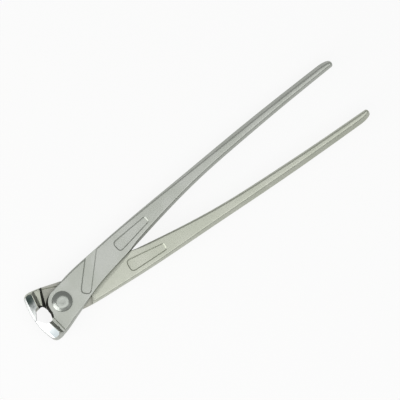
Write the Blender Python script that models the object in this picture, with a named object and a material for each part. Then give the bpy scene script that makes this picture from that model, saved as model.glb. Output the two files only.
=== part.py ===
"""Concreters' nippers: two drop forged levers that cross and turn on one rivet.

Metres, +Z up. The origin is the centre of the rivet's lower end face, on the pivot axis.
+X runs from the pivot to the handle tips, so the cutting edges are at -X, and the levers
turn about Z. Each lever is a single forging: handle, half of the lap joint, neck and jaw.
The lower lever is the same forging as the upper one, turned half a turn about X.

Each lever is modelled about its own middle plane, z = 0, with its handle on the +Y side
and its jaw on the -Y side, as the upper lever lies.
"""

import math

import bmesh
import bpy
from mathutils import Matrix, Vector

# Overall reach, from the pivot axis
HANDLE_REACH = 0.2288          # to the handle tips
HEAD_REACH = 0.0213            # to the front of the cutting edges

# Clearances
RUNNING_GAP = 0.0003           # between faces that slide or meet
EDGE_GAP = 0.0003              # between the closed cutting edges

# Lap joint
LEVER_THICKNESS = 0.0108       # both halves of the lap together
BOSS_RADIUS = 0.0093           # round front of each lap half
RECESS_WALL = 0.0114           # pivot to the foot of the flat wall behind the jaw
RECESS_WALL_ANGLE = 22.5       # degrees, the wall's lean from square to the lever
SWING_RADIUS = 0.0190          # room for the other lever's neck as it swings
RECESS_DRAFT = 0.0016          # how far the recess widens from its floor to its mouth

# Rivet
RIVET_SHANK_RADIUS = 0.0045
RIVET_HEAD_RADIUS = 0.0068
RIVET_FACE_RADIUS = 0.0038
RIVET_HEAD_HEIGHT = 0.0018

# Jaw, in plan
JAW_HALF_WIDTH = 0.01775       # pivot line to the widest point of the jaw
JAW_WIDEST_X = 0.0137          # that point, in front of the pivot
FRONT_ARC_RADIUS = 0.0500      # the shallow curve across the front of both jaws
JAW_CORNER_RADIUS = 0.0040     # between the front and the outer side
EDGE_LAND = 0.0009             # thickness of the cutting edge, front to back
INNER_BEVEL_ANGLE = 33.0       # degrees, the edge's inner face from square to the tool
INNER_BEVEL_WIDTH = 0.0052     # that face, measured across the tool
HOLLOW_HALF_WIDTH = 0.0062     # widest point of the hollow behind the edges
HOLLOW_WIDEST_X = 0.0142       # that point, in front of the pivot
HOLLOW_BACK_X = 0.0104         # where the hollow runs back into the boss
HOLLOW_BACK_HALF_WIDTH = 0.0047

# Jaw, in thickness: distances in front of the pivot, on the tool's middle line
RIDGE_THICKNESS = 0.0186       # across the ridge, the thickest part of the tool
EDGE_THICKNESS = 0.0098        # length of the cutting edges
RIM_THICKNESS = 0.0134         # where the ground face starts behind the front rim
FRONT_RIM = 0.0020             # width of that rim
RIDGE_FRONT_X = 0.0154         # back end of the ground face
RIDGE_BACK_X = 0.0151
RIDGE_FOOT_X = 0.0135          # foot of the ridge's steep back
RIDGE_FOOT_THICKNESS = 0.0120
NECK_CREASE_X = 0.0110         # where the neck meets the flat of the lap
RIDGE_LEAN = 7.0               # degrees, the ridge's lean from square to the tool
JAW_DRAFT = 0.0016             # slope of the jaw's outer side over half its thickness
JAW_ROUNDING = 0.0020          # on the outer rims of the jaw
JAW_ROUNDING_STEPS = 3
NECK_START_X = 0.0119          # the lap plate starts here, inside the neck
NECK_END_X = 0.0080            # the jaw's own side ends here, inside the lap plate
SUNK_DEPTH = 0.0003            # and its top has sunk this far into the plate at the pivot

# Crossing edge of a lever, from the jaw to the handle tip: distances along and across
# the tool. Where it passes zero the two inner edges meet, and the gap between the
# handles starts.
NECK_SIDE = (-0.0090, -0.0167)
HIP_SIDE = (0.0030, -0.0128)
WAIST_SIDE = (0.0238, -0.00595)
CROTCH_X = 0.0533
HANDLE_BOW_X = 0.1140          # where the handle bows furthest from a straight line
BOW_INNER = 0.0104
FAR_BOW_X = 0.1650
FAR_BOW_INNER = 0.0145
TIP_INNER = 0.0175

# Outer edge of a lever, from the boss to the handle tip
SHOULDER_SIDE = (0.0099, 0.0118)
BACK_SIDE = (0.0382, 0.0148)
BOW_OUTER = 0.0193
FAR_BOW_OUTER = 0.0218
TIP_OUTER = 0.0234

# Handle section
HANDLE_FULL_X = 0.0550         # the lap's thickness is kept up to here
HANDLE_BOW_THICKNESS = 0.0092
HANDLE_TIP_THICKNESS = 0.0074
PARTING_LAND = 0.0008          # upright strip along the forging's parting line
LAP_DRAFT = 0.0008             # slope of the sides over half the thickness
INNER_DRAFT = 0.0012
OUTER_DRAFT = 0.0024
DRAFT_FULL_X = 0.1500          # the side slopes reach their full width here
NOSE_DRAFT_SHARE = 0.6         # most of a section's width that its two side slopes may take
TIP_ROUND_LENGTH = 0.0088      # the outer edge curves in over this length
TIP_NOSE_LENGTH = 0.0013       # the inner edge curves in over this length
TIP_FACE_WIDTH = 0.0018        # flat left at the very end

# Directions round the boss, in degrees, as seen from above
BOSS_LEAVE_ANGLE = 108.0       # the outer edge leaves the boss
HOLLOW_MEET_ANGLE = 189.0      # the hollow runs into the boss

# Solids that cut space for the other lever: their outer ends, outside the lever
CUTTER_REACH = 0.0400
CROTCH_RUNOUT = 0.0080         # the recess runs on past the crotch by this much
SWING_START_ANGLE = 80.0       # degrees

# Steps of the curves
BOSS_STEPS = 14
JOINT_STEPS = 14
HANDLE_STEPS = 24
TIP_STEPS = 6
ARC_STEPS = 8
OVAL_STEPS = 4
NECK_STEPS = 5
ROUND_STEPS = 48
SEARCH_STEPS = 40              # halvings in a search by halves

# Worked out from the sizes above
LAP_HALF = LEVER_THICKNESS / 2
HEAD_TOP = LAP_HALF + RUNNING_GAP + RIVET_HEAD_HEIGHT

SAME_POINT = 0.00001           # points closer than this are one
SMOOTH_ANGLE = 25.0            # degrees, sharper edges stay sharp in the shading

FORGED_ZINC = {"colour": (0.55, 0.56, 0.53, 1.0), "metallic": 0.85, "roughness": 0.42}
FORGED_ZINC_WARM = {"colour": (0.55, 0.555, 0.51, 1.0), "metallic": 0.85, "roughness": 0.45}
RIVET_STEEL = {"colour": (0.50, 0.51, 0.49, 1.0), "metallic": 0.9, "roughness": 0.36}


def clear_scene():
    """Remove every object of the open file."""
    for thing in list(bpy.data.objects):
        bpy.data.objects.remove(thing, do_unlink=True)


def make_material(name, finish):
    """Return a Principled material of the given colour, metallic value and roughness."""
    material = bpy.data.materials.new(name)
    material.use_nodes = True
    shader = material.node_tree.nodes["Principled BSDF"]
    shader.inputs["Base Color"].default_value = finish["colour"]
    shader.inputs["Metallic"].default_value = finish["metallic"]
    shader.inputs["Roughness"].default_value = finish["roughness"]
    return material


def object_from(bm, name):
    """Return a new object that holds the bmesh, with its faces pointing outwards."""
    bmesh.ops.recalc_face_normals(bm, faces=bm.faces)
    mesh = bpy.data.meshes.new(name)
    bm.to_mesh(mesh)
    bm.free()
    made = bpy.data.objects.new(name, mesh)
    bpy.context.collection.objects.link(made)
    return made


def combine(target, tool, operation):
    """Apply one exact Boolean to target and remove the tool object."""
    modifier = target.modifiers.new(operation.lower(), "BOOLEAN")
    modifier.operation = operation
    modifier.solver = "EXACT"
    modifier.object = tool
    bpy.context.view_layer.update()
    graph = bpy.context.evaluated_depsgraph_get()
    result = bpy.data.meshes.new_from_object(target.evaluated_get(graph))
    target.modifiers.clear()
    target.data = result
    bpy.data.objects.remove(tool, do_unlink=True)


def smooth_curve(points):
    """Return y(x) of a smooth curve through the points, given from low x to high x."""
    xs = [point[0] for point in points]
    ys = [point[1] for point in points]
    chords = [(ys[i + 1] - ys[i]) / (xs[i + 1] - xs[i]) for i in range(len(xs) - 1)]
    slopes = [chords[0]]
    for i in range(1, len(chords)):
        before = xs[i] - xs[i - 1]
        after = xs[i + 1] - xs[i]
        slopes.append((chords[i - 1] * after + chords[i] * before) / (before + after))
    slopes.append(chords[-1])
    slopes[0] = 1.5 * chords[0] - 0.5 * slopes[1]
    slopes[-1] = 1.5 * chords[-1] - 0.5 * slopes[-2]

    def value(x):
        span = 0
        while span < len(chords) - 1 and x > xs[span + 1]:
            span += 1
        width = xs[span + 1] - xs[span]
        t = (x - xs[span]) / width
        rise = ys[span + 1] - ys[span]
        start = slopes[span] * width
        end = slopes[span + 1] * width
        square = 3 * rise - 2 * start - end
        cube = start + end - 2 * rise
        return ys[span] + start * t + square * t ** 2 + cube * t ** 3

    return value


crossing_edge = smooth_curve((
    (-JAW_WIDEST_X, -JAW_HALF_WIDTH), NECK_SIDE, HIP_SIDE, WAIST_SIDE, (CROTCH_X, 0.0),
    (HANDLE_BOW_X, BOW_INNER), (FAR_BOW_X, FAR_BOW_INNER), (HANDLE_REACH, TIP_INNER)))


def on_circle(radius, degrees):
    """Return the point of a circle about the pivot at the given direction."""
    angle = math.radians(degrees)
    return (radius * math.cos(angle), radius * math.sin(angle))


outer_edge = smooth_curve((
    on_circle(BOSS_RADIUS, BOSS_LEAVE_ANGLE), SHOULDER_SIDE, BACK_SIDE,
    (HANDLE_BOW_X, BOW_OUTER), (FAR_BOW_X, FAR_BOW_OUTER), (HANDLE_REACH, TIP_OUTER)))

half_thickness = smooth_curve((
    (HANDLE_FULL_X, LAP_HALF), (HANDLE_BOW_X, HANDLE_BOW_THICKNESS / 2),
    (HANDLE_REACH, HANDLE_TIP_THICKNESS / 2)))


def ease(x, start, end):
    """Return 0 before start and 1 after end, rising evenly between them."""
    return min(1.0, max(0.0, (x - start) / (end - start)))


def section(inner, outer, half, inner_draft, outer_draft):
    """Return the eight corners of a lever section.

    inner and outer are the plan points of the parting line on the crossing side and on
    the other side. The sides slope in from them to the top and bottom faces.
    """
    inner = Vector((inner[0], inner[1], 0.0))
    outer = Vector((outer[0], outer[1], 0.0))
    across = (outer - inner).normalized()
    land = Vector((0.0, 0.0, PARTING_LAND / 2))
    rise = Vector((0.0, 0.0, half))
    top_inner = inner + across * inner_draft
    top_outer = outer - across * outer_draft
    return [outer + land, top_outer + rise, top_inner + rise, inner + land,
            inner - land, top_inner - rise, top_outer - rise, outer - land]


def lap_sections():
    """Return the sections of the lap plate, from a slanting one under the jaw to the boss's back."""
    made = []
    for step in range(BOSS_STEPS + 1):
        degrees = 180.0 + (BOSS_LEAVE_ANGLE - 180.0) * step / BOSS_STEPS
        outer = on_circle(BOSS_RADIUS, degrees)
        inner_x = outer[0] if step else -NECK_START_X
        made.append(section((inner_x, crossing_edge(inner_x)), outer, LAP_HALF, LAP_DRAFT, 0.0))
    return made


def handle_section(x, outer_y, half, turned_in=0.0):
    """Return one section square to the tool, with the side slopes that belong there."""
    widening = ease(x, HANDLE_FULL_X, DRAFT_FULL_X)
    leaving_boss = ease(x, on_circle(BOSS_RADIUS, BOSS_LEAVE_ANGLE)[0], SHOULDER_SIDE[0])
    inner_draft = LAP_DRAFT + (INNER_DRAFT - LAP_DRAFT) * widening
    outer_draft = LAP_DRAFT * leaving_boss + (OUTER_DRAFT - LAP_DRAFT) * widening
    inner_y = crossing_edge(x) + turned_in
    fit = min(1.0, (outer_y - inner_y) / (inner_draft + outer_draft) * NOSE_DRAFT_SHARE)
    return section((x, inner_y), (x, outer_y), half, inner_draft * fit, outer_draft * fit)


def handle_sections():
    """Return the sections from the boss to the rounded handle tip."""
    made = []
    start = on_circle(BOSS_RADIUS, BOSS_LEAVE_ANGLE)[0]
    for step in range(1, JOINT_STEPS + 1):
        x = start + (HANDLE_FULL_X - start) * step / JOINT_STEPS
        made.append(handle_section(x, outer_edge(x), LAP_HALF))
    round_start = HANDLE_REACH - TIP_ROUND_LENGTH
    for step in range(1, HANDLE_STEPS + 1):
        x = HANDLE_FULL_X + (round_start - HANDLE_FULL_X) * step / HANDLE_STEPS
        made.append(handle_section(x, outer_edge(x), half_thickness(x)))
    end_y = crossing_edge(HANDLE_REACH) + TIP_NOSE_LENGTH + TIP_FACE_WIDTH
    for step in range(1, TIP_STEPS + 1):
        angle = math.pi / 2 * step / TIP_STEPS
        x = round_start + TIP_ROUND_LENGTH * math.sin(angle)
        outer_y = end_y + (outer_edge(x) - end_y) * math.cos(angle)
        nose = ease(x, HANDLE_REACH - TIP_NOSE_LENGTH, HANDLE_REACH)
        turned_in = TIP_NOSE_LENGTH * (1 - math.sqrt(1 - nose ** 2))
        made.append(handle_section(x, outer_y, half_thickness(x), turned_in))
    return made


def make_shank():
    """Return the lap plate and handle of a lever as one lofted solid."""
    bm = bmesh.new()
    rings = []
    for corners in lap_sections() + handle_sections():
        rings.append([bm.verts.new(corner) for corner in corners])
    for before, after in zip(rings, rings[1:]):
        for i in range(len(before)):
            j = (i + 1) % len(before)
            bm.faces.new((before[i], before[j], after[j], after[i]))
    bm.faces.new(rings[0])
    bm.faces.new(list(reversed(rings[-1])))
    return object_from(bm, "shank")


def jaw_rim():
    """Return the front and outer side of the jaw in plan, from the cutting edge to the neck."""
    centre_x = FRONT_ARC_RADIUS - HEAD_REACH
    corner_y = JAW_HALF_WIDTH - JAW_CORNER_RADIUS
    corner_x = centre_x - math.sqrt((FRONT_ARC_RADIUS - JAW_CORNER_RADIUS) ** 2 - corner_y ** 2)
    turn = math.atan2(corner_y, centre_x - corner_x)
    start = math.asin(EDGE_GAP / 2 / FRONT_ARC_RADIUS)
    rim = []
    for step in range(ARC_STEPS + 1):
        angle = start + (turn - start) * step / ARC_STEPS
        rim.append((centre_x - FRONT_ARC_RADIUS * math.cos(angle),
                    -FRONT_ARC_RADIUS * math.sin(angle)))
    for step in range(1, ARC_STEPS + 1):
        angle = turn + (math.pi / 2 - turn) * step / ARC_STEPS
        rim.append((corner_x - JAW_CORNER_RADIUS * math.cos(angle),
                    -corner_y - JAW_CORNER_RADIUS * math.sin(angle)))
    side_start = max(-JAW_WIDEST_X, corner_x)
    for step in range(1, NECK_STEPS + 1):
        x = side_start + (-NECK_END_X - side_start) * step / NECK_STEPS
        rim.append((x, crossing_edge(x)))
    return rim


def jaw_inside():
    """Return the rest of the jaw's plan: through the neck, round the hollow, to the edge."""
    apex_x = -(HEAD_REACH - EDGE_LAND)
    bevel_depth = (INNER_BEVEL_WIDTH - EDGE_GAP / 2) * math.tan(math.radians(INNER_BEVEL_ANGLE))
    bevel_end = (apex_x + bevel_depth, -INNER_BEVEL_WIDTH)
    widest = (-HOLLOW_WIDEST_X, -HOLLOW_HALF_WIDTH)
    back = (-HOLLOW_BACK_X, -HOLLOW_BACK_HALF_WIDTH)
    heart = BOSS_RADIUS / 2
    inside = [(-heart, -2 * heart), (-heart, -heart), on_circle(BOSS_RADIUS, HOLLOW_MEET_ANGLE)]
    inside += quarter_oval(back, widest, True)
    inside += quarter_oval(widest, bevel_end, False)[1:]
    inside.append((apex_x, -EDGE_GAP / 2))
    return inside


def quarter_oval(start, end, rising):
    """Return points of a quarter oval, square across at its start if rising, else at its end."""
    made = []
    for step in range(OVAL_STEPS + 1):
        angle = math.pi / 2 * step / OVAL_STEPS
        share_x = 1 - math.cos(angle) if rising else math.sin(angle)
        share_y = math.sin(angle) if rising else 1 - math.cos(angle)
        made.append((start[0] + (end[0] - start[0]) * share_x,
                     start[1] + (end[1] - start[1]) * share_y))
    return made


def stack(levels, name):
    """Return a closed solid through rings of plan points, given as (z, points) from top to bottom."""
    bm = bmesh.new()
    rings = [[bm.verts.new((x, y, z)) for x, y in points] for z, points in levels]
    bm.faces.new(rings[0])
    bm.faces.new(list(reversed(rings[-1])))
    for above, below in zip(rings, rings[1:]):
        for i in range(len(above)):
            j = (i + 1) % len(above)
            bm.faces.new((above[i], below[i], below[j], above[j]))
    return object_from(bm, name)


def make_jaw():
    """Return the jaw and neck: the plan cut to the profile that the tool has from the side."""
    rim = jaw_rim()
    inside = jaw_inside()
    drawn_in = [(x, y * (1 - JAW_DRAFT / JAW_HALF_WIDTH)) for x, y in rim]
    crown = RIDGE_THICKNESS / 2
    land = PARTING_LAND / 2
    jaw = stack([(crown, drawn_in + inside), (land, rim + inside),
                 (-land, rim + inside), (-crown, drawn_in + inside)], "jaw")
    round_outer_rims(jaw, drawn_in[1:])
    front = HEAD_REACH + FRONT_RIM
    front_half = EDGE_THICKNESS - RIM_THICKNESS / 2
    upper = [(-front, front_half), (-(HEAD_REACH - FRONT_RIM), RIM_THICKNESS / 2),
             (-RIDGE_FRONT_X, crown), (-RIDGE_BACK_X, crown),
             (-RIDGE_FOOT_X, RIDGE_FOOT_THICKNESS / 2), (-NECK_CREASE_X, LAP_HALF),
             (0.0, LAP_HALF - SUNK_DEPTH)]
    lower = [(x, -z) for x, z in reversed(upper)]
    profile = stack([(CUTTER_REACH, upper + lower), (-CUTTER_REACH, upper + lower)], "jaw_profile")
    standing = Matrix.Rotation(math.radians(90), 4, "X")
    leaning = Matrix.Rotation(math.radians(RIDGE_LEAN), 4, "Z")
    profile.data.transform(leaning @ standing)
    combine(jaw, profile, "INTERSECT")
    return jaw


def round_outer_rims(jaw, rim_points):
    """Round the upper and lower rims of the jaw's front corner and outer side."""
    bm = bmesh.new()
    bm.from_mesh(jaw.data)

    def on_rim(vert):
        return any(math.dist(vert.co.xy, point) < SAME_POINT for point in rim_points)

    edges = []
    for edge in bm.edges:
        first, second = edge.verts
        level = abs(first.co.z - second.co.z) < SAME_POINT
        if level and on_rim(first) and on_rim(second):
            edges.append(edge)
    bmesh.ops.bevel(bm, geom=edges, offset=JAW_ROUNDING, offset_type="OFFSET", affect="EDGES",
                    segments=JAW_ROUNDING_STEPS, profile=0.5, material=-1)
    bmesh.ops.recalc_face_normals(bm, faces=bm.faces)
    bm.to_mesh(jaw.data)
    bm.free()


def recess_outline(widening):
    """Return the plan of the space for the other lever, widened by the draft of its walls."""
    lean = math.radians(180 + RECESS_WALL_ANGLE)
    foot = Vector((math.cos(lean), math.sin(lean))) * (RECESS_WALL + widening)
    along = Vector((-math.sin(lean), math.cos(lean))) * CUTTER_REACH
    points = [tuple(foot + along), tuple(foot - along)]
    radius = SWING_RADIUS + widening
    meet = swing_meets_edge(radius, widening)
    for step in range(ARC_STEPS + 1):
        turned = (meet - SWING_START_ANGLE) * step / ARC_STEPS
        points.append(on_circle(radius, SWING_START_ANGLE + turned))
    start_x = points[-1][0]
    end_x = CROTCH_X + CROTCH_RUNOUT
    for step in range(1, ARC_STEPS + 1):
        x = start_x + (end_x - start_x) * step / ARC_STEPS
        points.append((x, -crossing_edge(x) + RUNNING_GAP + widening))
    points.append((end_x, -CUTTER_REACH))
    return points


def swing_meets_edge(radius, widening):
    """Return the direction, in degrees, where the swing circle meets the other lever's edge."""
    low, high = 0.0, SWING_START_ANGLE
    for _ in range(SEARCH_STEPS):
        middle = (low + high) / 2
        x, y = on_circle(radius, middle)
        if y < -crossing_edge(x) + RUNNING_GAP + widening:
            low = middle
        else:
            high = middle
    return low


def make_forging(name):
    """Return one finished lever about its own middle plane."""
    lever = make_shank()
    combine(lever, make_jaw(), "UNION")
    floor = RUNNING_GAP / 2
    depth = RIDGE_THICKNESS
    draft = RECESS_DRAFT / LAP_HALF * (depth + floor)
    recess = stack([(floor, recess_outline(0.0)), (-depth, recess_outline(draft))], "recess")
    combine(lever, recess, "DIFFERENCE")
    bore_radius = RIVET_SHANK_RADIUS + RUNNING_GAP
    bm = bmesh.new()
    bmesh.ops.create_cone(bm, cap_ends=True, segments=ROUND_STEPS, radius1=bore_radius,
                          radius2=bore_radius, depth=2 * LEVER_THICKNESS)
    combine(lever, object_from(bm, "bore"), "DIFFERENCE")
    lever.name = name
    lever.data.name = name
    return lever


def make_rivet():
    """Return the rivet: a shank with a cone shaped head formed at each end."""
    seat = LAP_HALF + RUNNING_GAP
    profile = [(0.0, -HEAD_TOP), (RIVET_FACE_RADIUS, -HEAD_TOP), (RIVET_HEAD_RADIUS, -seat),
               (RIVET_SHANK_RADIUS, -seat), (RIVET_SHANK_RADIUS, seat),
               (RIVET_HEAD_RADIUS, seat), (RIVET_FACE_RADIUS, HEAD_TOP), (0.0, HEAD_TOP)]
    bm = bmesh.new()
    verts = [bm.verts.new((radius, 0.0, z)) for radius, z in profile]
    edges = [bm.edges.new(pair) for pair in zip(verts, verts[1:])]
    bmesh.ops.spin(bm, geom=verts + edges, axis=(0.0, 0.0, 1.0), cent=(0.0, 0.0, 0.0),
                   angle=2 * math.pi, steps=ROUND_STEPS, use_merge=True)
    bmesh.ops.remove_doubles(bm, verts=bm.verts, dist=SAME_POINT)
    return object_from(bm, "rivet")


def finish_piece(piece, material):
    """Give a piece its material and shade its round faces smooth."""
    piece.data.materials.clear()
    piece.data.materials.append(material)
    piece.data.shade_smooth()
    piece.data.set_sharp_from_angle(angle=math.radians(SMOOTH_ANGLE))


def main():
    """Build the two levers and the rivet, with the upper lever on the pivot's own empty."""
    clear_scene()
    upper = make_forging("upper_lever")
    lower = bpy.data.objects.new("lower_lever", upper.data.copy())
    bpy.context.collection.objects.link(lower)
    rivet = make_rivet()
    finish_piece(upper, make_material("forged_zinc", FORGED_ZINC))
    finish_piece(lower, make_material("forged_zinc_warm", FORGED_ZINC_WARM))
    finish_piece(rivet, make_material("rivet_steel", RIVET_STEEL))
    pivot = bpy.data.objects.new("pivot", None)
    bpy.context.collection.objects.link(pivot)
    pivot.location = (0.0, 0.0, HEAD_TOP)
    upper.parent = pivot
    lower.location = pivot.location
    lower.rotation_euler = (math.pi, 0.0, 0.0)
    rivet.location = pivot.location


main()
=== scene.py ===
"""Concreters' nippers: fine shapes, finishes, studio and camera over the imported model.

Metres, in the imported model's frame: the levers turn about the line x = y = 0, +X runs to
the handle tips, -X to the cutting edges, and the tool lies flat with +Z up.

Both levers are one forging. It is modelled about its own middle plane z = 0, with its
handle on the +Y side and its jaw on the -Y side, as the upper lever lies. The lower lever
is the same forging turned half a turn about X.
"""

import logging
import math
from dataclasses import dataclass, field
from enum import Enum
from typing import Callable, Sequence

import bmesh
import bpy
from mathutils import Matrix, Vector


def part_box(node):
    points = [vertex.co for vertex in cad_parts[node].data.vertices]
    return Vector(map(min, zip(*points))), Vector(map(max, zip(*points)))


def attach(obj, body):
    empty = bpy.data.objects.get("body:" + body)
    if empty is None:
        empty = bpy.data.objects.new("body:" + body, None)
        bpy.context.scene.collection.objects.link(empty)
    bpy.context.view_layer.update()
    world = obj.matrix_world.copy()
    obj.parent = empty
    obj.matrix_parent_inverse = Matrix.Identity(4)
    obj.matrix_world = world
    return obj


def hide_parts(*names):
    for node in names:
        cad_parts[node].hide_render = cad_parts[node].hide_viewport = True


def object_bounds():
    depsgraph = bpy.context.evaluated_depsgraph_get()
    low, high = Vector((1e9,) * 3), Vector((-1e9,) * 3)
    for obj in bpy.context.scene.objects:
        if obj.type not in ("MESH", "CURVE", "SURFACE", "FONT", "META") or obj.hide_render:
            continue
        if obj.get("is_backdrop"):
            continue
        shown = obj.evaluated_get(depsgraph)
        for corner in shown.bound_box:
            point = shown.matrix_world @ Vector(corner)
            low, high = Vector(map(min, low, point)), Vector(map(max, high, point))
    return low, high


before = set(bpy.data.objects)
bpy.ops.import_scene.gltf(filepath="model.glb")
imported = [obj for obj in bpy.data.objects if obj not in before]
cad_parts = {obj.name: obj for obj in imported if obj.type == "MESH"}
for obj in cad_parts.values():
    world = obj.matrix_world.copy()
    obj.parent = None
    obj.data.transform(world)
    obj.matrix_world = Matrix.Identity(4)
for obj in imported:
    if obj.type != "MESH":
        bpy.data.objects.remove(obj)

log = logging.getLogger("nippers")

PICTURE_SIZE = 400             # pixels, both ways
SENSOR_WIDTH = 36.0            # millimetres
TINY = 1e-6                    # metres, below every real distance
TINY_TURN = 1e-9               # degrees
CORNER_SHARE = 0.48            # most of a side that the rounding of one corner takes
PATCH_INNER = 0.3              # share of a patch's radius that has its full colour
PATCH_OUTER = 1.3              # share of the radius where the colour ends
PATCH_WOBBLE = 0.6             # share of the radius that noise moves the border by

Point = tuple[float, float]
Place = tuple[float, float, float]
Colour = tuple[float, float, float, float]


class Body(Enum):
    """The two rigid bodies of the tool."""

    UPPER = "upper"
    LOWER = "lower"


class Surface(Enum):
    """How a face of the forging is finished, or painted with shade, as its place in the list of
    materials.
    """

    PLATED = 0
    GROUND = 1
    # machined lap floor, darkened as painted shade
    MACHINED_SHADED = 2
    # near-black painted shade in the hollow, on the boss's side and on the recess's back wall
    PAINTED_SHADE = 3
    FRONT = 4
    # plated step behind the ridge, darkened as painted shade
    STEP = 5


class Side(Enum):
    """The two flat sides of a forging, as signs of its own z axis."""

    PANELLED = 1.0
    RECESSED = -1.0


@dataclass(frozen=True)
class SmoothCurve:
    """A smooth curve y(x) through a few points given from low x to high x."""

    points: tuple[Point, ...]

    def slopes(self) -> list[float]:
        """Return the slope at each point, from the chords on its two sides."""
        chords = [(b[1] - a[1]) / (b[0] - a[0]) for a, b in zip(self.points, self.points[1:])]
        inner = []
        for i in range(1, len(chords)):
            before = self.points[i][0] - self.points[i - 1][0]
            after = self.points[i + 1][0] - self.points[i][0]
            inner.append((chords[i - 1] * after + chords[i] * before) / (before + after))
        first = 1.5 * chords[0] - 0.5 * inner[0]
        last = 1.5 * chords[-1] - 0.5 * inner[-1]
        return [first, *inner, last]

    def at(self, x: float) -> float:
        """Return the curve's height.

        Args:
            x: place along the curve, also past its ends.

        Returns:
            The height y at that place.
        """
        span = 0
        while span < len(self.points) - 2 and x > self.points[span + 1][0]:
            span += 1
        low, high = self.points[span], self.points[span + 1]
        slopes = self.slopes()
        width = high[0] - low[0]
        t = (x - low[0]) / width
        rise = high[1] - low[1]
        start = slopes[span] * width
        end = slopes[span + 1] * width
        square = 3 * rise - 2 * start - end
        cube = start + end - 2 * rise
        return low[1] + start * t + square * t ** 2 + cube * t ** 3


def on_circle(radius: float, degrees: float) -> Point:
    """Return the point of a circle about the pivot in the given direction."""
    angle = math.radians(degrees)
    return radius * math.cos(angle), radius * math.sin(angle)


def ease(x: float, start: float, end: float) -> float:
    """Return 0 before start and 1 after end, rising evenly between them."""
    return min(1.0, max(0.0, (x - start) / (end - start)))


def spread(start: float, end: float, steps: int) -> list[float]:
    """Return steps + 1 even values from start to end."""
    return [start + (end - start) * step / steps for step in range(steps + 1)]


def rounded(corners: Sequence[Vector], radii: Sequence[float], steps: int) -> list[Vector]:
    """Round the corners of a closed outline.

    Args:
        corners: the outline's corners in order.
        radii: how far each corner's rounding reaches along its two sides.
        steps: straight stretches in each rounded corner; a corner of no radius stays one point.

    Returns:
        The points of the rounded outline, in the same order.
    """
    made = []
    count = len(corners)
    for i, corner in enumerate(corners):
        before = corners[i - 1] - corner
        after = corners[(i + 1) % count] - corner
        if radii[i] == 0.0:
            made.append(corner.copy())
            continue
        reach = min(radii[i], CORNER_SHARE * before.length, CORNER_SHARE * after.length)
        for s in spread(0.0, 1.0, steps):
            made.append(corner + before.normalized() * reach * (1 - s) ** 2
                        + after.normalized() * reach * s ** 2)
    return made


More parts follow.
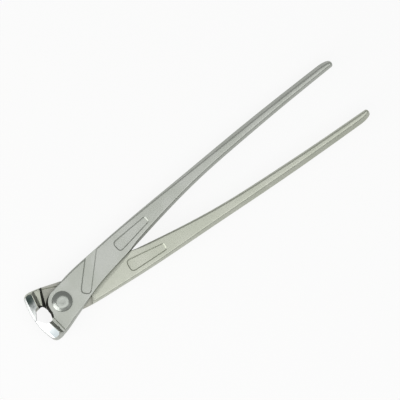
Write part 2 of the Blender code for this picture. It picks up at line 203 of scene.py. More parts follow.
@dataclass(frozen=True)
class ForgingSizes:
    """Driving sizes of the forging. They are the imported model's, with finer edges.

    Lengths are in metres and angles in degrees. Heights are from the middle plane.
    """

    # the tool as a whole, its lap and its boss
    handle_reach: float = 0.2288
    head_reach: float = 0.0213
    running_gap: float = 0.0003
    edge_gap: float = 0.0003
    lap_half: float = 0.0054
    boss_radius: float = 0.0093
    boss_leaves: float = 108.0         # where the boss runs into the handle
    boss_swell: float = 0.0013         # how much wider the boss is at its foot, by the hollow
    boss_swell_full: float = 150.0
    boss_draft: float = 0.0003
    boss_shade_x: float = 0.0062       # the boss's side gets painted shade up to here
    bore_radius: float = 0.0048

    # the jaw in plan, its hollow, and the slope beside the hollow
    jaw_half_width: float = 0.01775
    jaw_widest_x: float = -0.0137
    front_arc: float = 0.0500
    jaw_corner: float = 0.0040
    edge_land: float = 0.0009
    bevel_angle: float = 33.0
    bevel_width: float = 0.0052
    hollow_widest: Point = (-0.0142, -0.0062)
    hollow_back: Point = (-0.0115, -0.0050)
    hollow_meets: float = 189.0
    hollow_clear: float = 0.0072       # nearer to the pivot than this is the bore
    relief_foot_x: float = -0.0110
    relief_mouth: SmoothCurve = SmoothCurve((      # x for a place across the tool
        (-0.0049, -0.0100), (-0.0025, -0.0091), (0.0, -0.0089), (0.0028, -0.0088),
        (0.0052, -0.0102)))
    relief_outside_x: float = -0.0130
    relief_past_top: float = 0.0001

    # the jaw from the side: front, ridge, step, crease, and the groove in the neck
    ridge_half: float = 0.0093
    edge_half: float = 0.0051
    rim_half: float = 0.0062
    front_rim: float = 0.0011
    ridge_front_x: float = -0.0158
    ridge_back_x: float = -0.0154
    ridge_foot_x: float = -0.0133
    ridge_foot_half: float = 0.0050
    neck_crease_x: float = -0.0110
    crease_depth: float = 0.00035
    crease_slope: float = 1.0
    neck_groove: tuple[Point, Point] = ((-0.0056, -0.0143), (0.0060, -0.0091))
    groove_half: float = 0.0003
    groove_depth: float = 0.0004
    ridge_lean: float = 11.0
    crease_lean: float = 7.0
    jaw_draft: float = 0.0016
    jaw_rounding: float = 0.0020
    neck_start_x: float = -0.0119
    neck_end_x: float = -0.0080
    neck_turn_in: float = 0.0005
    neck_proud: float = 0.00004        # keeps the neck's side clear of the lap plate's
    sunk_depth: float = 0.0003         # keeps the neck's top inside the lap plate

    # the room for the other lever, from its floor to its mouth
    recess_wall: float = 0.0110
    recess_lean: float = 22.5
    recess_turn: float = 3.5
    swing_radius: float = 0.0190
    back_draft: float = 0.00185
    swing_draft: float = 0.0003
    wall_draft: float = -0.00026
    shoulder_width: float = 0.0034
    shoulder_depth: float = 0.0009
    shoulder_start: float = 0.20
    shoulder_end: float = 0.85
    shoulder_fade_x: float = 0.0400
    recess_fillet: float = 0.0004
    swing_start: float = 80.0
    crotch_x: float = 0.0533
    crotch_runout: float = 0.0080
    cutter_reach: float = 0.0400

    # drafts, roundings and the handle's tip
    handle_full_x: float = 0.0550
    draft_full_x: float = 0.1500
    parting_half: float = 0.0004
    lap_draft: float = 0.0008
    crossing_draft: float = 0.00002
    crossing_full_x: float = 0.0150
    crossing_rounding: float = 0.0005
    inner_draft: float = 0.0012
    outer_draft: float = 0.0024
    draft_share: float = 0.6           # most of the handle's width that both drafts take
    tip_round: float = 0.0088
    tip_nose: float = 0.0013
    tip_face: float = 0.0018
    tip_turn_down: float = 0.0016
    edge_rounding: float = 0.0009
    boss_rounding: float = 0.0002

    # the edge that crosses the other lever, the other edge, and half the thickness
    crossing: SmoothCurve = SmoothCurve((
        (jaw_widest_x, -jaw_half_width), (-0.0090, -0.0167), (0.0030, -0.0128),
        (0.0238, -0.00595), (crotch_x, 0.0), (0.1140, 0.0104), (0.1650, 0.0145),
        (handle_reach, 0.0175)))
    outer: SmoothCurve = SmoothCurve((
        on_circle(boss_radius, boss_leaves), (0.0099, 0.0118), (0.0382, 0.0148),
        (0.1140, 0.0193), (0.1650, 0.0218), (handle_reach, 0.0234)))
    thickness: SmoothCurve = SmoothCurve((
        (handle_full_x, lap_half), (0.1140, 0.0046), (handle_reach, 0.0037)))


def sort_faces(bm: bmesh.types.BMesh) -> None:
    """Sort the faces by their corners, so that what is cut with them is the same in every run."""
    bm.verts.index_update()
    order = sorted(bm.faces, key=lambda face: sorted(vert.index for vert in face.verts))
    for place, face in enumerate(order):
        face.index = place
    bm.faces.sort()


def new_object(bm: bmesh.types.BMesh, name: str) -> bpy.types.Object:
    """Turn a bmesh into a linked object with its faces pointing outwards.

    Args:
        bm: the finished bmesh; it is freed.
        name: name of the object and its mesh.

    Returns:
        The new object, at the origin.
    """
    bmesh.ops.recalc_face_normals(bm, faces=bm.faces)
    sort_faces(bm)
    mesh = bpy.data.meshes.new(name)
    bm.to_mesh(mesh)
    bm.free()
    made = bpy.data.objects.new(name, mesh)
    bpy.context.collection.objects.link(made)
    return made


def combine(target: bpy.types.Object, tool: bpy.types.Object, operation: str) -> None:
    """Apply one exact Boolean to target and remove the tool.

    Args:
        target: the object whose mesh changes.
        tool: the other operand.
        operation: UNION, DIFFERENCE or INTERSECT.
    """
    modifier = target.modifiers.new(operation.lower(), "BOOLEAN")
    modifier.operation = operation
    modifier.solver = "EXACT"
    modifier.object = tool
    graph = bpy.context.evaluated_depsgraph_get()
    target.data = bpy.data.meshes.new_from_object(target.evaluated_get(graph))
    target.modifiers.clear()
    bpy.data.objects.remove(tool, do_unlink=True)


def weld(piece: bpy.types.Object, distance: float) -> None:
    """Merge the slivers that Booleans leave in a mesh.

    Args:
        piece: the object whose mesh changes.
        distance: longest edge that is merged away.
    """
    bm = bmesh.new()
    bm.from_mesh(piece.data)
    bmesh.ops.remove_doubles(bm, verts=bm.verts, dist=distance)
    bmesh.ops.dissolve_degenerate(bm, dist=distance, edges=bm.edges)
    bm.to_mesh(piece.data)
    bm.free()


def outline_face(bm: bmesh.types.BMesh, points: Sequence[Vector]) -> bmesh.types.BMFace:
    """Return a new face with the given corners."""
    return bm.faces.new([bm.verts.new(point) for point in points])


def extruded(bm: bmesh.types.BMesh, face: bmesh.types.BMFace, shift: Vector) -> bmesh.types.BMFace:
    """Extrude a face and move its new copy.

    Args:
        bm: the bmesh that holds the face.
        face: the face to extrude; it goes where it would lie inside the solid.
        shift: how far the new face moves.

    Returns:
        The face at the far end.
    """
    inside_a_solid = any(len(edge.link_faces) > 1 for edge in face.edges)
    made = bmesh.ops.extrude_face_region(bm, geom=[face])["geom"]
    if inside_a_solid:
        bmesh.ops.delete(bm, geom=[face], context="FACES_ONLY")
    bmesh.ops.translate(bm, verts=[v for v in made if isinstance(v, bmesh.types.BMVert)], vec=shift)
    return next(f for f in made if isinstance(f, bmesh.types.BMFace))


def bridged(sections: Sequence[Sequence[Vector]]) -> bmesh.types.BMesh:
    """Return a closed solid through a row of sections with the same number of points."""
    bm = bmesh.new()
    loops = []
    for points in sections:
        verts = [bm.verts.new(point) for point in points]
        loops.append([bm.edges.new(pair) for pair in zip(verts, verts[1:] + verts[:1])])
    for near, far in zip(loops, loops[1:]):
        bmesh.ops.bridge_loops(bm, edges=near + far)
    for end in (loops[0], loops[-1]):
        bmesh.ops.edgeloop_fill(bm, edges=end)
    return bm


def soften(bm: bmesh.types.BMesh, edges: Sequence[bmesh.types.BMEdge], radius: float,
           segments: int) -> None:
    """Round edges with a bevel.

    Args:
        bm: the bmesh that holds the edges.
        edges: the edges to round.
        radius: reach of the rounding on both sides.
        segments: faces across the rounding.
    """
    bmesh.ops.bevel(bm, geom=list(edges), offset=radius, offset_type="OFFSET", affect="EDGES",
                    segments=segments, profile=0.5, material=-1)


@dataclass(frozen=True)
class Panel:
    """A sunk bare panel in a flat side of the forging, with a sloping wall round it."""

    side: Side
    corners: tuple[Point, ...]
    radii: tuple[float, ...]
    depth: float = 0.0007
    wall: float = 0.0009
    margin: float = 0.0010
    steps: int = 12

    def cutter(self, half_at: Callable[[float], float]) -> bpy.types.Object:
        """Model the solid that sinks the panel.

        Args:
            half_at: gives half the forging's thickness at a place along it.

        Returns:
            The cutter.
        """
        places = [corner[0] for corner in self.corners]
        low, high = min(places), max(places)
        slope = (half_at(high) - half_at(low)) / (high - low)
        outline = rounded([Vector((x, y, half_at(low) + slope * (x - low) - self.depth))
                           for x, y in self.corners], self.radii, self.steps)
        bm = bmesh.new()
        base = outline_face(bm, [Vector((p.x, p.y, self.side.value * p.z)) for p in outline])
        extruded(bm, base, Vector((0.0, 0.0, self.side.value * (self.depth + self.margin))))
        soften(bm, base.edges, self.wall, 1)
        return new_object(bm, "panel")


@dataclass
class Forging:
    """The drop forged lever: handle, half of the lap joint, neck and jaw."""

    sizes: ForgingSizes = field(default_factory=ForgingSizes)
    panels: tuple[Panel, ...] = (
        Panel(Side.PANELLED,
              ((0.0119, -0.0027), (0.0172, -0.0080), (0.0424, 0.0182), (0.0371, 0.0236)),
              (0.0037, 0.0037, 0.0, 0.0)),
        Panel(Side.PANELLED,
              ((0.0478, 0.0025), (0.0747, 0.00735), (0.0746, 0.0126), (0.0470, 0.0110)),
              (0.0034, 0.0018, 0.0018, 0.0034)),
        Panel(Side.RECESSED,
              ((0.0471, 0.0030), (0.0740, 0.0084), (0.0734, 0.0138), (0.0460, 0.0122)),
              (0.0036, 0.0018, 0.0018, 0.0036)),
    )
    # stretches and faces along curves
    boss_steps: int = 40
    joint_steps: int = 24
    handle_steps: int = 60
    tip_steps: int = 12
    corner_steps: int = 4
    arc_steps: int = 24
    shoulder_steps: int = 4
    rounding_steps: int = 6
    fillet_steps: int = 3
    bore_steps: int = 96
    # limits of a face's normal that tell its finish
    slope_match: float = 0.9995
    front_x: float = -0.60
    front_y: float = 0.45
    upright_z: float = 0.3
    flat_z: float = 0.9
    wall_match: float = 0.85
    boss_z: float = 0.45
    step_x: float = 0.8
    step_z: float = 0.1
    # longest edge that is merged away at the end
    sliver: float = 0.000005

    def half_at(self, x: float) -> float:
        """Return half the thickness of the lap and handle at a place along them."""
        s = self.sizes
        return s.lap_half if x <= s.handle_full_x else s.thickness.at(x)

    def section(self, inner: Point, outer: Point, half: float, drafts: tuple[float, float],
                rounding: tuple[float, float], outwards: Vector | None = None) -> list[Vector]:
        """Work out one cross section of the lever.

        Args:
            inner: plan point of the parting line on the crossing side.
            outer: plan point of the parting line on the other side.
            half: half the thickness there.
            drafts: how far the inner and the outer side slope in up to the flat sides.
            rounding: reach of the rounding of the inner and the outer edges.
            outwards: the way that the outer side faces, if not along the section.

        Returns:
            The points round the section.
        """
        inner_point = Vector((*inner, 0.0))
        outer_point = Vector((*outer, 0.0))
        across = (outer_point - inner_point).normalized()
        land = Vector((0.0, 0.0, self.sizes.parting_half))
        rise = Vector((0.0, 0.0, half))
        top_inner = inner_point + across * drafts[0]
        top_outer = outer_point - (outwards or across) * drafts[1]
        corners = [outer_point + land, top_outer + rise, top_inner + rise, inner_point + land,
                   inner_point - land, top_inner - rise, top_outer - rise, outer_point - land]
        radii = [0.0, rounding[1], rounding[0], 0.0, 0.0, rounding[0], rounding[1], 0.0]
        return rounded(corners, radii, self.corner_steps)

    def lap_sections(self) -> list[list[Vector]]:
        """Return the sections from a slanting one under the jaw to the back of the boss."""
        s = self.sizes
        made = []
        for step, degrees in enumerate(spread(180.0, s.boss_leaves, self.boss_steps)):
            swell = s.boss_swell * ease(degrees, s.boss_leaves, s.boss_swell_full)
            outer = on_circle(s.boss_radius + swell, degrees)
            inner_x = s.neck_start_x
            if step:
                inner_x = on_circle(s.boss_radius - s.boss_draft, degrees)[0]
            drafts = (s.lap_draft, s.boss_draft + swell)
            made.append(self.section((inner_x, s.crossing.at(inner_x)), outer, s.lap_half, drafts,
                                     (s.edge_rounding, s.boss_rounding),
                                     Vector((*outer, 0.0)).normalized()))
        return made

    def handle_section(self, x: float, outer_y: float, half: float, turned_in: float
                       ) -> list[Vector]:
        """Work out one section square to the tool.

        Args:
            x: its place along the tool.
            outer_y: the outer edge there.
            half: half the thickness there.
            turned_in: how far the inner edge has left its curve, at the tip.

        Returns:
            The points round the section.
        """
        s = self.sizes
        widening = ease(x, s.handle_full_x, s.draft_full_x)
        leaving_boss = ease(x, on_circle(s.boss_radius, s.boss_leaves)[0], s.outer.points[1][0])
        lapping = ease(x, 0.0, s.crossing_full_x)
        lapping *= 1 - ease(x, s.crotch_x, s.crotch_x + s.crotch_runout)
        lap_draft = s.lap_draft + (s.crossing_draft - s.lap_draft) * lapping
        inner_draft = lap_draft + (s.inner_draft - s.lap_draft) * widening
        inner_round = s.edge_rounding + (s.crossing_rounding - s.edge_rounding) * lapping
        edge_draft = s.boss_draft + (s.lap_draft - s.boss_draft) * leaving_boss
        outer_draft = edge_draft + (s.outer_draft - s.lap_draft) * widening
        outer_round = s.boss_rounding + (s.edge_rounding - s.boss_rounding) * leaving_boss
        inner_y = s.crossing.at(x) + turned_in
        fit = min(1.0, s.draft_share * (outer_y - inner_y) / (inner_draft + outer_draft))
        return self.section((x, inner_y), (x, outer_y), half,
                            (inner_draft * fit, outer_draft * fit), (inner_round, outer_round))

    def handle_sections(self) -> list[list[Vector]]:
        """Return the sections from the boss to the rounded handle tip."""
        s = self.sizes
        start = on_circle(s.boss_radius, s.boss_leaves)[0]
        round_start = s.handle_reach - s.tip_round
        places = spread(start, s.handle_full_x, self.joint_steps)[1:]
        places += spread(s.handle_full_x, round_start, self.handle_steps)[1:]
        made = [self.handle_section(x, s.outer.at(x), self.half_at(x), 0.0) for x in places]
        end_y = s.crossing.at(s.handle_reach) + s.tip_nose + s.tip_face
        for angle in spread(0.0, math.pi / 2, self.tip_steps)[1:]:
            x = round_start + s.tip_round * math.sin(angle)
            outer_y = end_y + (s.outer.at(x) - end_y) * math.cos(angle)
            nose = ease(x, s.handle_reach - s.tip_nose, s.handle_reach)
            turned_in = s.tip_nose * (1 - math.sqrt(1 - nose ** 2))
            turned_down = s.tip_turn_down * (1 - math.sqrt(1 - nose ** 2))
            made.append(self.handle_section(x, outer_y, s.thickness.at(x) - turned_down, turned_in))
        return made

    def shank(self) -> bpy.types.Object:
        """Return the lap plate and handle, bridged through all their sections."""
        return new_object(bridged(self.lap_sections() + self.handle_sections()), "shank")

    def jaw_rim(self) -> list[Point]:
        """Return the front and outer side of the jaw in plan, from the cutting edge to the neck."""
        s = self.sizes
        centre_x = s.front_arc - s.head_reach
        corner_y = s.jaw_half_width - s.jaw_corner
        corner_x = centre_x - math.sqrt((s.front_arc - s.jaw_corner) ** 2 - corner_y ** 2)
        turn = math.atan2(corner_y, centre_x - corner_x)
        start = math.asin(s.edge_gap / 2 / s.front_arc)
        rim = [(centre_x - s.front_arc * math.cos(angle), -s.front_arc * math.sin(angle))
               for angle in spread(start, turn, self.arc_steps)]
        rim += [(corner_x - s.jaw_corner * math.cos(angle),
                 -corner_y - s.jaw_corner * math.sin(angle))
                for angle in spread(turn, math.pi / 2, self.arc_steps)[1:]]
        side_start = max(s.jaw_widest_x, corner_x)
        for x in spread(side_start, s.neck_end_x, self.arc_steps)[1:]:
            turned_in = s.neck_turn_in * ease(x, s.neck_start_x, s.neck_end_x)
            rim.append((x, s.crossing.at(x) - s.neck_proud + turned_in))
        return rim

    def jaw_inside(self) -> list[Point]:
        """Return the rest of the jaw's plan: through the neck, round the hollow, to the edge."""
        s = self.sizes
        apex_x = -(s.head_reach - s.edge_land)
        bevel_depth = (s.bevel_width - s.edge_gap / 2) * math.tan(math.radians(s.bevel_angle))
        bevel_end = (apex_x + bevel_depth, -s.bevel_width)
        heart = s.boss_radius / 2
        inside = [(-heart, -2 * heart), (-heart, -heart),
                  on_circle(s.boss_radius + s.boss_swell, s.hollow_meets)]
        inside += self.quarter_oval(s.hollow_back, s.hollow_widest, True)
        inside += self.quarter_oval(s.hollow_widest, bevel_end, False)[1:]
        inside.append((apex_x, -s.edge_gap / 2))
        return inside

    def quarter_oval(self, start: Point, end: Point, rising: bool) -> list[Point]:
        """Work out a quarter of an oval.

        Args:
            start: its first point.
            end: its last point.
            rising: whether it runs across the tool at its start, not at its end.

        Returns:
            The points from start to end.
        """
        made = []
        for angle in spread(0.0, math.pi / 2, self.arc_steps // 2):
            share_x = 1 - math.cos(angle) if rising else math.sin(angle)
            share_y = math.sin(angle) if rising else 1 - math.cos(angle)
            made.append((start[0] + (end[0] - start[0]) * share_x,
                         start[1] + (end[1] - start[1]) * share_y))
        return made

    def jaw_block(self) -> bpy.types.Object:
        """Return the jaw's plan as a drafted block with rounded outer rims, at full height."""
        s = self.sizes
        rim = self.jaw_rim()
        bm = bmesh.new()
        base = outline_face(bm, [Vector((x, y, 0.0)) for x, y in rim + self.jaw_inside()])
        land = extruded(bm, base, Vector((0.0, 0.0, s.parting_half)))
        crown = extruded(bm, land, Vector((0.0, 0.0, s.ridge_half - s.parting_half)))
        shrink = 1 - s.jaw_draft / s.jaw_half_width
        on_rim = sorted_like(crown.verts, rim)
        for vert in on_rim:
            vert.co.y *= shrink
        outside = {v for v in on_rim if v.co.y < s.hollow_widest[1]}
        edges = [e for e in crown.edges if outside.issuperset(e.verts)]
        soften(bm, edges, s.jaw_rounding, self.rounding_steps)
        floor = [f for f in bm.faces if all(abs(v.co.z) < TINY for v in f.verts)]
        bmesh.ops.delete(bm, geom=floor, context="FACES")
        bmesh.ops.mirror(bm, geom=bm.verts[:] + bm.edges[:] + bm.faces[:], axis="Z",
                         merge_dist=TINY)
        return new_object(bm, "jaw")

    def jaw_profile(self) -> bpy.types.Object:
        """Return the profile that the head has from the side, as a bar across the tool."""
        s = self.sizes
        front = s.head_reach + s.front_rim
        upper = [(-front, 2 * s.edge_half - s.rim_half), (s.front_rim - s.head_reach, s.rim_half),
                 (s.ridge_front_x, s.ridge_half), (s.ridge_back_x, s.ridge_half),
                 (s.ridge_foot_x, s.ridge_foot_half), (s.neck_crease_x, s.lap_half),
                 (0.0, s.lap_half - s.sunk_depth)]
        outline = upper + [(x, -z) for x, z in reversed(upper)]
        bm = bmesh.new()
        base = outline_face(bm, [Vector((x, -s.cutter_reach, z)) for x, z in outline])
        extruded(bm, base, Vector((0.0, 2 * s.cutter_reach, 0.0)))
        bmesh.ops.rotate(bm, verts=bm.verts, cent=Vector(), matrix=Matrix.Rotation(
            math.radians(s.ridge_lean), 3, "Z"))
        return new_object(bm, "jaw_profile")

    def recess_outline(self, back: float, turn: float, swing: float, crossing: float
                       ) -> list[Point]:
        """Work out the plan of the space that the other lever needs, at one height.

        Args:
            back: how far the wall by the jaw has moved out.
            turn: how many degrees that wall has turned.
            swing: how far the round wall has moved out.
            crossing: how far the wall along the crossing edge has moved out.

        Returns:
            The outline's points.
        """
        s = self.sizes

        def wall_at(x: float) -> float:
            fade = 1 - ease(x, s.shoulder_fade_x, s.crotch_x + s.crotch_runout)
            return -s.crossing.at(x) + s.running_gap + crossing * fade

        lean = math.radians(180 + s.recess_lean + turn)
        foot = Vector((math.cos(lean), math.sin(lean))) * (s.recess_wall + back)
        along = Vector((-math.sin(lean), math.cos(lean))) * s.cutter_reach
        points = [tuple(foot + along * share) for share in spread(1.0, -1.0, self.arc_steps)]
        radius = s.swing_radius + swing
        low, high = 0.0, s.swing_start
        while high - low > TINY_TURN:
            middle = (low + high) / 2
            x, y = on_circle(radius, middle)
            low, high = (middle, high) if y < wall_at(x) else (low, middle)
        points += [on_circle(radius, degrees)
                   for degrees in spread(s.swing_start, low, self.arc_steps)]
        end_x = s.crotch_x + s.crotch_runout
        points += [(x, wall_at(x)) for x in spread(points[-1][0], end_x, self.arc_steps)[1:]]
        points.append((end_x, -s.cutter_reach))
        return points

    def recess_sections(self) -> list[list[Vector]]:
        """Return the plans of the recess from its floor up to its mouth, round its shoulder."""
        s = self.sizes
        floor = s.running_gap / 2
        levels = [(floor, 0.0)]
        for share in spread(s.shoulder_start, s.shoulder_end, self.shoulder_steps):
            levels.append((s.shoulder_depth * (1 - share) ** 2 - s.lap_half,
                           s.shoulder_width * (share ** 2 - s.shoulder_start ** 2)))
        (z, reach), (last_z, last_reach) = levels[-2:]
        levels.append((2 * last_z - z, 2 * last_reach - reach))
        levels.append((-2 * s.ridge_half, levels[-1][1]))
        made = []
        for z, reach in levels:
            rise = (floor - z) / s.lap_half
            walls = (s.back_draft * rise, s.recess_turn * rise, s.swing_draft * rise + reach,
                     s.wall_draft * min(rise, 1) + reach)
            made.append([Vector((*point, z)) for point in self.recess_outline(*walls)])
        return made

    def recess_cutter(self) -> bpy.types.Object:
        """Return the solid that cuts the room for the other lever, with filleted corners."""
        s = self.sizes
        bm = bridged(self.recess_sections())
        floor = s.running_gap / 2
        edges = [e for e in bm.edges if all(abs(v.co.z - floor) < TINY for v in e.verts)]
        soften(bm, edges, s.recess_fillet, self.fillet_steps)
        return new_object(bm, "recess")

    def relief_cutter(self) -> bpy.types.Object:
        """Return the wedge that slopes the boss back beside the hollow, on the panelled side."""
        s = self.sizes
        height = s.lap_half - s.parting_half
        low, high = s.relief_mouth.points[0][0], s.relief_mouth.points[-1][0]
        made = []
        for z in (s.parting_half, s.lap_half + s.relief_past_top, 2 * s.lap_half):
            share = (z - s.parting_half) / height
            points = [(s.relief_foot_x + (s.relief_mouth.at(y) - s.relief_foot_x) * share, y)
                      for y in spread(high, low, self.arc_steps)]
            points += [(s.relief_outside_x, low), (s.relief_outside_x, high)]
            made.append([Vector((*point, z)) for point in points])
        return new_object(bridged(made), "relief")

    def bore_cutter(self) -> bpy.types.Object:
        """Return the round bar that cuts the rivet's bore."""
        bm = bmesh.new()
        bmesh.ops.create_cone(bm, cap_ends=True, segments=self.bore_steps,
                              radius1=self.sizes.bore_radius, radius2=self.sizes.bore_radius,
                              depth=4 * self.sizes.lap_half)
        return new_object(bm, "bore")

    def crease_cutter(self) -> bpy.types.Object:
        """Return the bar that cuts the fine crease across the neck."""
        s = self.sizes
        top = s.crease_depth * 2
        corners = [(s.neck_crease_x - top * s.crease_slope, top), (s.neck_crease_x, 0.0),
                   (s.neck_crease_x + top * s.crease_slope, top)]
        bm = bmesh.new()
        base = outline_face(bm, [Vector((x, s.hollow_back[1] / 2, s.lap_half - s.crease_depth + z))
                                 for x, z in corners])
        extruded(bm, base, Vector((0.0, -s.jaw_half_width, 0.0)))
        bmesh.ops.rotate(bm, verts=bm.verts, cent=Vector(), matrix=Matrix.Rotation(
            math.radians(s.crease_lean), 3, "Z"))
        return new_object(bm, "crease")

    def groove_cutter(self) -> bpy.types.Object:
        """Return the bar that cuts the fine groove beside the neck's outer edge, in the lap."""
        s = self.sizes
        start, end = (Vector((*place, s.running_gap / 2)) for place in s.neck_groove)
        across = (end - start).cross(Vector((0.0, 0.0, 1.0))).normalized() * s.groove_half * 2
        depth = Vector((0.0, 0.0, s.groove_depth))
        bm = bmesh.new()
        base = outline_face(bm, [start - across - depth, start + depth, start + across - depth])
        extruded(bm, base, end - start)
        return new_object(bm, "groove")

    def build(self, name: str) -> bpy.types.Object:
        """Build the whole forging about its own middle plane.

        Args:
            name: name of the object.

        Returns:
            The forging, without its finish.
        """
        lever = self.shank()
        jaw = self.jaw_block()
        combine(jaw, self.jaw_profile(), "INTERSECT")
        combine(lever, jaw, "UNION")
        combine(lever, self.recess_cutter(), "DIFFERENCE")
        combine(lever, self.bore_cutter(), "DIFFERENCE")
        combine(lever, self.crease_cutter(), "DIFFERENCE")
        combine(lever, self.groove_cutter(), "DIFFERENCE")
        combine(lever, self.relief_cutter(), "DIFFERENCE")
        for panel in self.panels:
            combine(lever, panel.cutter(self.half_at), "DIFFERENCE")
        weld(lever, self.sliver)
        lever.name = name
        lever.data.name = name
        for face in lever.data.polygons:
            face.material_index = self.surface_of(face.center, face.normal).value
        return lever

    def surface_of(self, place: Vector, normal: Vector) -> Surface:
        """Tell how a face is finished.

        Args:
            place: the face's middle.
            normal: the face's normal.

        Returns:
            The kind of surface.
        """
        on_jaw = self.jaw_surface(place, normal)
        if on_jaw is not Surface.PLATED:
            return on_jaw
        # the hollow, the boss's side and the recess's back wall get near-black painted shade
        if self.is_painted_shade(place, normal):
            return Surface.PAINTED_SHADE
        gap = self.sizes.running_gap
        # the machined lap floor, darkened as painted shade for its recess
        on_lap = abs(place.z - gap / 2) < gap and normal.z < -self.flat_z
        return Surface.MACHINED_SHADED if on_lap else Surface.PLATED

    def jaw_surface(self, place: Vector, normal: Vector) -> Surface:
        """Tell whether a face is one of the jaw's ground faces, or its step, which gets painted shade.

        Args:
            place: the face's middle.
            normal: the face's normal.

        Returns:
            The kind of surface, plated if it is none of them.
        """
        s = self.sizes
        leaned = Matrix.Rotation(math.radians(-s.ridge_lean), 3, "Z") @ normal
        if place.x < s.ridge_front_x:
            steepness = (s.ridge_half - s.rim_half) / (s.ridge_front_x - s.front_rim + s.head_reach)
            slope = Vector((-steepness, 0.0, 1.0)).normalized()
            if Vector((leaned.x, leaned.y, abs(leaned.z))).dot(slope) > self.slope_match:
                return Surface.GROUND
            in_bevel = abs(normal.z) < self.upright_z and -s.bevel_width < place.y
            if in_bevel or (leaned.x < self.front_x and abs(leaned.y) < self.front_y):
                return Surface.FRONT
        # the steep back of the ridge gets a darker plate as painted shade
        sloping = leaned.x > self.step_x and abs(normal.z) > self.step_z
        on_step = sloping and place.x < 0 and abs(place.z) > s.ridge_foot_half
        return Surface.STEP if on_step else Surface.PLATED

    def is_painted_shade(self, place: Vector, normal: Vector) -> bool:
        """Tell whether a face lines the hollow, the boss's side or the recess's back wall, where shade
        is painted.

        Args:
            place: the face's middle.
            normal: the face's normal.

        Returns:
            Whether it gets the near-black painted shade.
        """
        s = self.sizes
        from_pivot = place.to_2d().length
        lean = math.radians(180 + s.recess_lean)
        across = Vector((math.cos(lean), math.sin(lean), 0.0))
        on_back = (place.z < 0 and normal.dot(across) < -self.wall_match
                   and s.recess_wall < place.dot(across) < s.recess_wall + 2 * s.back_draft)
        on_boss = (abs(normal.z) < self.boss_z and place.z > 0 and place.y > s.hollow_back[1]
                   and s.hollow_widest[0] < place.x < s.boss_shade_x
                   and from_pivot > s.boss_radius - s.running_gap)
        in_hollow = (abs(normal.z) < self.upright_z and s.hollow_widest[0] < place.x < 0
                     and s.hollow_widest[1] < place.y < 0 and from_pivot > s.hollow_clear)
        return on_back or on_boss or in_hollow


def sorted_like(verts: Sequence[bmesh.types.BMVert], points: Sequence[Point]
                ) -> list[bmesh.types.BMVert]:
    """Return the vertices in the order of the plan points that they stand on."""
    return [min(verts, key=lambda v: math.dist(v.co.xy, point)) for point in points]


@dataclass(frozen=True)
class Noise:
    """Sizes of a noise: waves per metre, octaves of finer noise, and how strong those are."""

    scale: float
    detail: float
    roughness: float


@dataclass(frozen=True)
class Relief:
    """A fine relief that shows in the shading: its share, and its height in metres."""

    strength: float
    height: float


@dataclass(frozen=True)
class PlatedForging:
    """Satin zinc plate over a forged skin: cloudy, faintly mottled, softly pitted."""

    name: str
    colour: Colour
    cloud: Colour
    roughness: float = 0.46
    metallic: float = 0.82
    specular: float = 0.5
    pitted: float = 1.0
    clouds: Noise = Noise(55.0, 3.0, 0.55)
    grain: Noise = Noise(900.0, 1.0, 0.5)
    skin: Noise = Noise(260.0, 3.0, 0.5)
    cloud_border: Point = (0.35, 0.68)
    sheen: Point = (-0.03, 0.04)
    grain_relief: Relief = Relief(0.02, 0.00006)
    skin_relief: Relief = Relief(0.05, 0.00012)

    def material(self) -> bpy.types.Material:
        """Return the finish as a node material."""
        nodes = NodeTree(self.name)
        place = nodes.coordinates()
        clouds = nodes.noise(place, self.clouds)
        grain = nodes.noise(place, self.grain)
        skin = nodes.noise(place, self.skin)
        tone = nodes.mapped(clouds, source=self.cloud_border, kind="SMOOTHSTEP")
        nodes.join(nodes.mix(tone, self.colour, self.cloud), "Base Color")
        nodes.join(nodes.around(grain, self.roughness, self.sheen), "Roughness")
        nodes.set("Metallic", self.metallic)
        nodes.set("Specular IOR Level", self.specular)
        bump = nodes.bump(grain, self.grain_relief, self.pitted)
        nodes.join(nodes.bump(skin, self.skin_relief, self.pitted, bump), "Normal")
        return nodes.material


@dataclass(frozen=True)
class GroundSteel:
    """Bright ground steel with fine wheel marks across the tool and a softly bordered darker patch of
    painted shade.
    """

    name: str
    colour: Colour
    # colour, centre, reach and flattening along x of the darker patch of painted shade
    painted_shade: Colour
    painted_shade_centre: Point
    painted_shade_radius: float
    painted_shade_squash: float = 0.45
    roughness: float = 0.24
    wheel_stretch: Place = (3600.0, 160.0, 900.0)
    wheel_marks: Noise = Noise(1.0, 3.0, 0.6)
    clouds: Noise = Noise(300.0, 3.0, 0.6)
    sheen: Point = (-0.05, 0.08)
    mark_relief: Relief = Relief(0.12, 0.00003)

    def material(self) -> bpy.types.Material:
        """Return the finish as a node material."""
        nodes = NodeTree(self.name)
        place = nodes.coordinates()
        marks = nodes.noise(nodes.scaled(place, self.wheel_stretch), self.wheel_marks)
        clouds = nodes.noise(place, self.clouds)
        flattened = nodes.scaled(place, (self.painted_shade_squash, 1.0, 0.0))
        centre = (self.painted_shade_centre[0] * self.painted_shade_squash, self.painted_shade_centre[1], 0.0)
        # share of the patch of painted shade: full near its centre, none past its reach
        near = nodes.nearness(flattened, centre, self.painted_shade_radius, clouds)
        nodes.join(nodes.mix(near, self.colour, self.painted_shade), "Base Color")
        nodes.join(nodes.around(clouds, self.roughness, self.sheen), "Roughness")
        nodes.set("Metallic", 1.0)
        nodes.join(nodes.bump(marks, self.mark_relief), "Normal")
        return nodes.material


